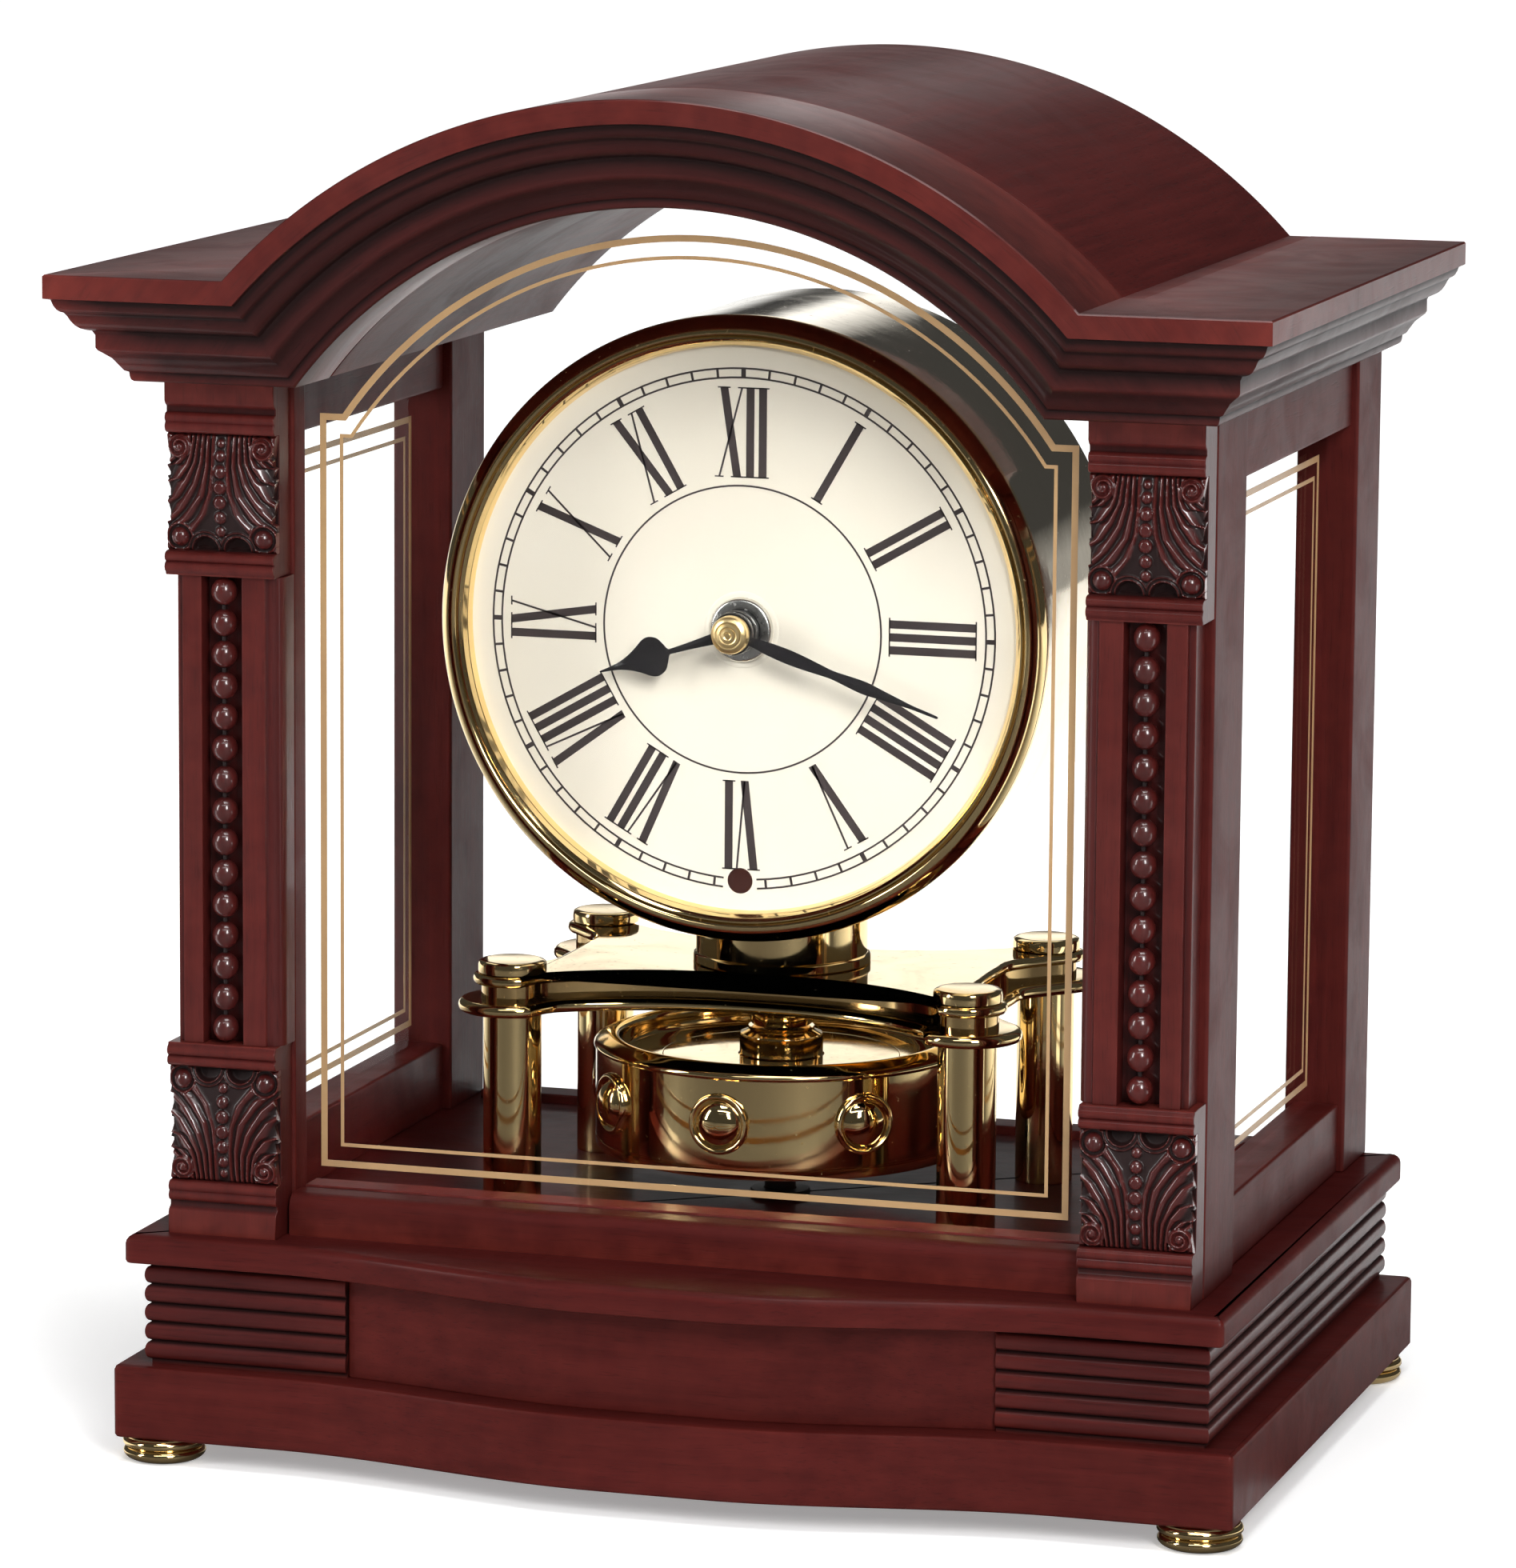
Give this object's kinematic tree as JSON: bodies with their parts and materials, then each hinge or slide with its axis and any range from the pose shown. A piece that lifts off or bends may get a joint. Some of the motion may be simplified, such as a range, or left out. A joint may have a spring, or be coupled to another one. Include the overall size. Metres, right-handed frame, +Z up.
{
  "type": "mantel clock",
  "caption": "Arched glazed wooden mantel clock with carved pilasters, a brass drum dial on a scalloped platform and a revolving pendulum disc below it.",
  "frame": {"origin": "middle of the footprint, on the plane the four feet stand on", "axes": "+X to the clock's right as seen from the front, +Y from the front towards the open back, +Z up"},
  "size_m": [0.2606, 0.1886, 0.2952],
  "materials": {
    "case_wood": "satin lacquered red-brown mahogany veneer and mouldings, darkened in the recesses",
    "dark_wood": "plain dark stained rail",
    "polished_brass": "polished and lacquered",
    "pane_glass": "clear sheet glass with thin gold printed lines",
    "black_plastic": "moulded, lightly grained",
    "black_enamel": "gloss black enamel on thin stamped metal",
    "dial_face": "cream satin paint printed with black numerals",
    "sensor_window": "smoked dark brown",
    "bright_steel": "turned, nickel plated",
    "battery_jacket": "plain printed jacket"
  },
  "bodies": {
    "case": {"base_plinth": "case_wood", "base_shelf": "case_wood", "reeded_corner_right": "case_wood", "reeded_corner_left": "case_wood", "base_front_apron": "case_wood", "front_sill": "case_wood", "corner_post_front_right": "case_wood", "corner_post_front_left": "case_wood", "corner_post_rear_right": "case_wood", "corner_post_rear_left": "case_wood", "side_rail_top_right": "case_wood", "side_rail_top_left": "case_wood", "side_rail_bottom_right": "case_wood", "side_rail_bottom_left": "case_wood", "capital_lower_right": "case_wood", "capital_lower_left": "case_wood", "capital_upper_right": "case_wood", "capital_upper_left": "case_wood", "pilaster_shaft_right": "case_wood", "pilaster_shaft_left": "case_wood", "bead_string_right": "case_wood", "bead_string_left": "case_wood", "crown_side_right": "case_wood", "crown_side_left": "case_wood", "crown_front_moulding": "case_wood", "roof_vault": "case_wood", "foot_front_right": "polished_brass", "foot_front_left": "polished_brass", "foot_rear_right": "polished_brass", "foot_rear_left": "polished_brass", "platform_post_front_right": "polished_brass", "platform_post_front_left": "polished_brass", "platform_post_rear_right": "polished_brass", "platform_post_rear_left": "polished_brass", "platform": "polished_brass", "drum_pedestal": "polished_brass", "drum_shell": "polished_brass", "bezel": "polished_brass", "pendulum_pivot": "black_plastic", "movement_front_plate": "black_plastic", "movement_case": "black_plastic", "base_back_rail": "dark_wood", "front_glass": "pane_glass", "side_glass_right": "pane_glass", "side_glass_left": "pane_glass", "dial_plate": "dial_face", "light_sensor": "sensor_window", "hub_nut": "bright_steel", "battery_right": "battery_jacket", "battery_left": "battery_jacket"},
    "minute_works": {"minute_arbor": "polished_brass", "minute_hand": "black_enamel", "hand_nut": "polished_brass"},
    "hour_works": {"hour_wheel": "polished_brass", "hour_hand": "black_enamel"},
    "setting_works": {"minute_wheel": "polished_brass", "set_knob": "black_plastic"},
    "pendulum": {"pendulum_disc": "polished_brass"},
    "melody_slider": {"melody_switch": "black_plastic"},
    "volume_slider": {"volume_switch": "black_plastic"}
  },
  "joints": [
    {"name": "minute_turn", "type": "hinge", "parent": "case", "child": "minute_works", "pos_m": [0, -0.032, 0.1784], "axis": [0, 1, 0], "continuous": true},
    {"name": "hour_turn", "type": "hinge", "parent": "case", "child": "hour_works", "pos_m": [0, -0.0296, 0.1784], "axis": [0, 1, 0], "continuous": true},
    {"name": "setting_turn", "type": "hinge", "parent": "case", "child": "setting_works", "pos_m": [0, 0.0069, 0.1684], "axis": [0, 1, 0], "continuous": true},
    {"name": "pendulum_turn", "type": "hinge", "parent": "case", "child": "pendulum", "pos_m": [0, 0.0069, 0.0738], "axis": [0, 0, 1], "range_deg": [-180, 180]},
    {"name": "melody_slide", "type": "slide", "parent": "case", "child": "melody_slider", "axis": [1, 0, 0], "range_m": [0, 0.006]},
    {"name": "volume_slide", "type": "slide", "parent": "case", "child": "volume_slider", "axis": [1, 0, 0], "range_m": [0, 0.006]}
  ],
  "couplings": [
    {"joint": "hour_turn", "follows": "minute_turn", "ratio": 0.083333},
    {"joint": "setting_turn", "follows": "minute_turn", "ratio": -0.33333}
  ]
}
